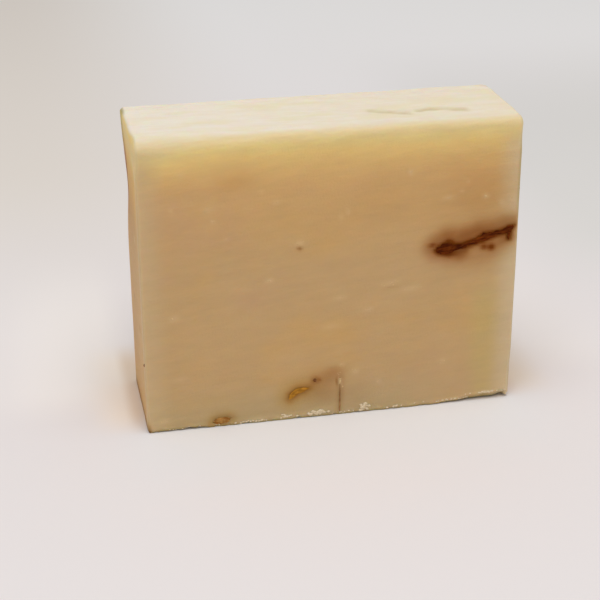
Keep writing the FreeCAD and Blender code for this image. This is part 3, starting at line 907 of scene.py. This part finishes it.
def neck_middle(spot):
    """The height of the middle of the thin neck between the petal's lobe and the rest."""
    return NECK_HEIGHT + NECK_SLOPE * (spot.x - NECK_ALONG)


def at_neck(spot):
    """The share by which the neck is narrowed, in its cut front alone."""
    return NECK_NARROWED * hill(spot.x, NECK_ALONG, NECK_REACH) * (spot.y < -12.2)


petal_brown = plant_material("dried_brown_petal", BROWN_DEEP, BROWN_WORN, (2.2, 1.0, 0.5), PETAL_TILT)
shape = cut_fine("brown_petal", 0.3)
narrow(shape, 0, lambda spot: TICK_ALONG, at_tick)
narrow(shape, 2, neck_middle, at_neck)
tear(shape, proud=0.02, crumple=0.16, fray=0.30, size=(1.5, 1.0, 0.6), seed=21)
settle("torn_brown_petal", shape, petal_brown, "brown_petal")


# The orange petal is a small serrated scrap, cut through by the same wire.
# Its cut edge is amber and fibrous, and stands a little proud of the soap.
ORANGE_DEEP = (170, 115, 38)
ORANGE_WORN = (196, 138, 50)
ORANGE_TILT = math.radians(25)
ORANGE_GRAIN = (0.8, 0.8, 0.5)
petal_orange = plant_material("dried_orange_petal", ORANGE_DEEP, ORANGE_WORN, ORANGE_GRAIN, ORANGE_TILT)
shape = cut_fine("orange_petal", 0.2)
tear(shape, proud=0.08, crumple=0.06, fray=0.15, size=ORANGE_GRAIN, seed=31)
settle("torn_orange_petal", shape, petal_orange, "orange_petal")


# A third scrap of petal lies close above the base edge, toasted brown.
# The wire cut it nearly level with the soap, and its torn edge shows.
TOASTED_DEEP = (158, 104, 46)
TOASTED_WORN = (200, 150, 84)
petal_toasted = plant_material("toasted_petal", TOASTED_DEEP, TOASTED_WORN, (1.0, 1.0, 0.4), 0.0)
shape = cut_fine("base_edge_petal", 0.2)
tear(shape, proud=0.02, crumple=0.14, fray=0.20, size=(0.7, 0.8, 0.4), seed=41)
settle("torn_base_petal", shape, petal_toasted, "base_edge_petal")


# The fibre is one stiff hair of plant stalk that the wire laid upright in the cut face.
# Dark grains of the same stalk sit to its left and in both ends of the bar.
STALK_DEEP = (152, 106, 62)
STALK_WORN = (186, 140, 94)
GRAIN_DEEP = (110, 66, 36)
GRAIN_WORN = (150, 102, 62)
FIBRE_ALONG = 1.68
FIBRE_LEAN = -0.035
FIBRE_NARROWED = 0.4


def fibre_middle(spot):
    """The place along of the fibre's middle, which leans a little to the left as it rises."""
    return FIBRE_ALONG + FIBRE_LEAN * spot.z


stalk = plant_material("plant_stalk", STALK_DEEP, STALK_WORN, (0.3, 0.3, 1.5), 0.0)
shape = cut_fine("plant_fibre", 0.2)
narrow(shape, 0, fibre_middle, lambda spot: FIBRE_NARROWED)
tear(shape, proud=0.05, crumple=0.04, fray=0.08, size=(0.6, 0.6, 1.2), seed=51)
settle("plant_hair", shape, stalk, "plant_fibre")

dark_stalk = plant_material("dark_stalk", GRAIN_DEEP, GRAIN_WORN, (0.4, 0.4, 0.4), 0.0)
shape = cut_fine("front_grain", 0.15)
tear(shape, proud=0.06, crumple=0.08, fray=0.10, size=(0.4, 0.4, 0.4), seed=61)
settle("grain_in_front", shape, dark_stalk, "front_grain")
for side in ("left", "right"):
    shape = cut_fine(f"{side}_end_grain", 0.15)
    settle(f"grain_in_{side}_end", shape, dark_stalk, f"{side}_end_grain")


# Crumbs that the wire tore off cling along the base edge in front and in small clusters on the cut
# faces. They are flakes of the same soap, dried paler, pressed half into it.
CRUMB_FLATNESS = 0.45
CRUMB_GAP = 0.01
DRY_CRUMB = (241, 223, 192)
DRY_CRUMB_SHADE = (219, 193, 152)
TAN_CRUMB = (232, 202, 150)
TAN_CRUMB_SHADE = (208, 172, 118)

# Each cluster: place along and up, half length, half height, how many crumbs, and their size.
BASE_CRUMBS = (
    (-3.4, 1.0, 2.2, 0.40, 24, 0.82),
    (6.7, 1.4, 0.9, 0.60, 15, 0.86),
    (13.9, 0.6, 1.6, 0.20, 9, 0.56),
    (-9.9, 0.8, 1.6, 0.30, 13, 0.60),
    (-17.3, 0.5, 3.0, 0.20, 18, 0.56),
    (26.0, 0.9, 5.0, 0.15, 22, 0.46),
    (34.5, 1.8, 3.6, 0.20, 28, 0.56),
    (-30.0, 0.5, 5.0, 0.20, 12, 0.36),
    (2.5, 0.5, 3.0, 0.20, 8, 0.36),
)
FACE_CRUMBS = (
    (-30.4, 56.2, 0.5, 0.3, 2, 0.20),
    (-25.4, 48.5, 1.0, 0.6, 7, 0.22),
    (-24.4, 46.0, 0.2, 0.2, 2, 0.34),
    (-21.9, 42.0, 0.4, 0.3, 2, 0.24),
    (-7.0, 39.9, 0.5, 0.2, 4, 0.34),
    (-13.2, 32.3, 0.5, 0.25, 4, 0.34),
    (-33.0, 25.7, 0.7, 0.25, 4, 0.26),
    (-11.6, 49.0, 0.6, 0.25, 4, 0.22),
    (15.9, 53.2, 0.3, 0.5, 5, 0.24),
    (23.9, 47.2, 1.0, 0.4, 8, 0.22),
    (28.0, 50.4, 0.3, 0.2, 2, 0.20),
    (26.8, 48.5, 0.3, 0.2, 2, 0.20),
    (31.9, 47.0, 0.4, 0.3, 4, 0.32),
    (35.4, 45.4, 0.4, 0.4, 4, 0.22),
    (37.4, 45.8, 0.3, 0.4, 3, 0.22),
    (3.0, 45.9, 0.2, 0.7, 3, 0.18),
    (12.0, 29.3, 1.8, 0.5, 14, 0.22),
    (16.5, 27.9, 1.7, 0.2, 8, 0.20),
    (7.4, 24.0, 1.2, 0.35, 9, 0.20),
    (1.3, 27.1, 0.9, 0.2, 4, 0.18),
    (2.0, 11.8, 0.4, 0.3, 3, 0.26),
    (4.9, 9.9, 0.6, 0.4, 5, 0.24),
    (23.9, 10.3, 0.7, 0.4, 5, 0.22),
    (9.9, 7.0, 0.4, 0.3, 3, 0.22),
    (-35.8, 2.6, 0.9, 0.4, 4, 0.24),
    (1.6, 9.6, 0.6, 0.3, 3, 0.22),
    (1.6, 7.9, 0.08, 0.6, 9, 0.34),
    (2.2, 6.6, 0.12, 0.4, 3, 0.26),
)
BACK_CRUMBS = [(3 - along, up, *others) for along, up, *others in FACE_CRUMBS[::2]]


def crumb_material(name, colour, dark):
    """Dry crumbled soap, with a grainy surface."""
    material, tree = new_material(name)
    grain = speckle(tree, in_millimetres(tree), (0.25, 0.25, 0.25), detail=4)
    tone = blend(tree, spread(tree, grain, 0.3, 0.7), paint(*dark), paint(*colour))
    lumpy = bumped(tree, grain, 0.5, 0.08)
    surface = add(tree, "BsdfPrincipled", {
        "Base Color": tone,
        "Roughness": 0.7,
        "Specular IOR Level": 0.2,
        "Normal": lumpy,
    })
    add(tree, "OutputMaterial", {"Surface": surface.outputs[0]})
    return material


def scatter(shape, clusters, chance, side=-1):
    """Adds crumbs to a bmesh, flattened against the front face, or the back with side 1, and half sunk."""
    outermost = (HALF_THICK - CRUMB_GAP) * MM
    for along, height, half_long, half_high, count, size in clusters:
        for _ in range(count):
            across = along + chance.gauss(0, 0.55) * half_long
            up = max(height + chance.gauss(0, 0.55) * half_high, size * 0.4)
            start = Vector((across, 2 * side * HALF_THICK, up)) * MM
            hit = soap_skin.ray_cast(start, Vector((0, -side, 0)))[0]
            if hit is None:
                continue
            reach = size * chance.uniform(0.5, 1.0) / 2 * MM
            made = bmesh.ops.create_icosphere(shape, subdivisions=1, radius=1.0)["verts"]
            radii = Vector((reach * chance.uniform(1.0, 1.9), reach * CRUMB_FLATNESS, reach))
            turn = Matrix.Rotation(chance.uniform(-0.5, 0.5), 3, "Y")
            for vert in made:
                lump = 1 + 0.35 * noise.noise(vert.co * 1.7 + hit * 2000)
                vert.co = turn @ (vert.co * radii * lump) + hit
                vert.co.y = min(max(vert.co.y, -outermost), outermost)
                vert.co.z = max(vert.co.z, CRUMB_GAP * MM)


dry_soap = crumb_material("dry_soap", DRY_CRUMB, DRY_CRUMB_SHADE)
tan_soap = crumb_material("tan_soap", TAN_CRUMB, TAN_CRUMB_SHADE)
shape = bmesh.new()
scatter(shape, BASE_CRUMBS, random.Random(5))
base_crumbs = place("base_edge_crumbs", shape, dry_soap)
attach(base_crumbs, "root")
shape = bmesh.new()
scatter(shape, FACE_CRUMBS, random.Random(6))
scatter(shape, BACK_CRUMBS, random.Random(7), side=1)
face_crumbs = place("cut_face_crumbs", shape, tan_soap)
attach(face_crumbs, "root")
